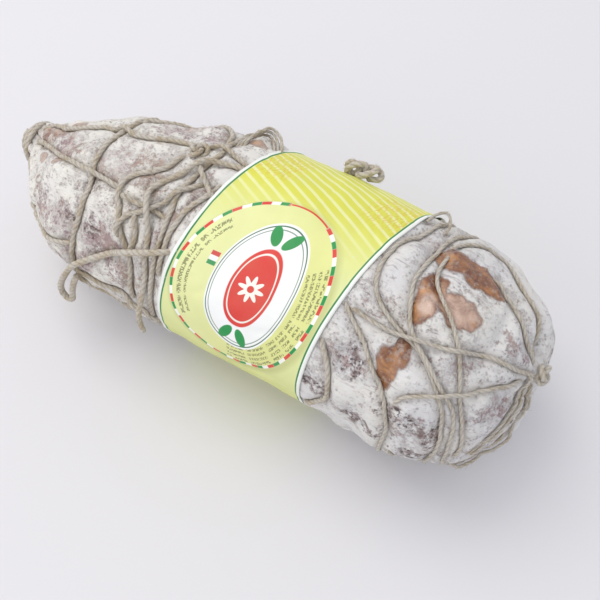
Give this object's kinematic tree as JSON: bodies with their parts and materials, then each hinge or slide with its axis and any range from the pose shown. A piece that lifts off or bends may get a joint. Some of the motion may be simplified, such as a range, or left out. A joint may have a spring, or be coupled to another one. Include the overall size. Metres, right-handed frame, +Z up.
{
  "type": "coppa",
  "caption": "Whole cured pork neck in a mould-bloomed casing, netted with hemp twine and wrapped round the middle with a printed paper band.",
  "frame": {"origin": "centre of the underside of the bounding box, on the surface the coppa lies on", "axes": "+Z up, +X along the coppa towards its blunt tied end, -X towards its thin tied tail, +Y towards the back, away from the side the band's emblem faces"},
  "size_m": [0.2753, 0.1033, 0.0997],
  "materials": {
    "casing": "dry natural casing with white-grey mould bloom, brown and amber where bare",
    "twine": "matte twisted hemp",
    "paper": "smooth coated paper, printed"
  },
  "bodies": {
    "root": {"coppa_body": "casing", "label_band": "paper", "tail_tie": "twine", "girth_cord_tail": "twine", "girth_cord_label": "twine", "girth_cord_wandering": "twine", "girth_cord_blunt": "twine", "girth_cord_half": "twine", "ridge_cord": "twine", "tail_front_cord": "twine", "tail_side_cord": "twine", "web_cord_1": "twine", "web_cord_2": "twine", "web_cord_3": "twine", "web_cord_4": "twine", "web_cord_5": "twine", "web_cord_6": "twine", "ridge_side_cord_1": "twine", "ridge_side_cord_2": "twine", "edge_cord_1": "twine", "edge_cord_2": "twine", "label_side_cord": "twine", "shoulder_cord": "twine", "blunt_cord_1": "twine", "blunt_cord_2": "twine", "blunt_cord_3": "twine", "blunt_cord_4": "twine", "blunt_cord_5": "twine", "blunt_cord_6": "twine", "bottom_cord": "twine", "ridge_knot": "twine", "end_knot": "twine", "back_knot": "twine", "loose_end": "twine", "hanging_loop": "twine", "stray_loop": "twine"}
  },
  "joints": []
}
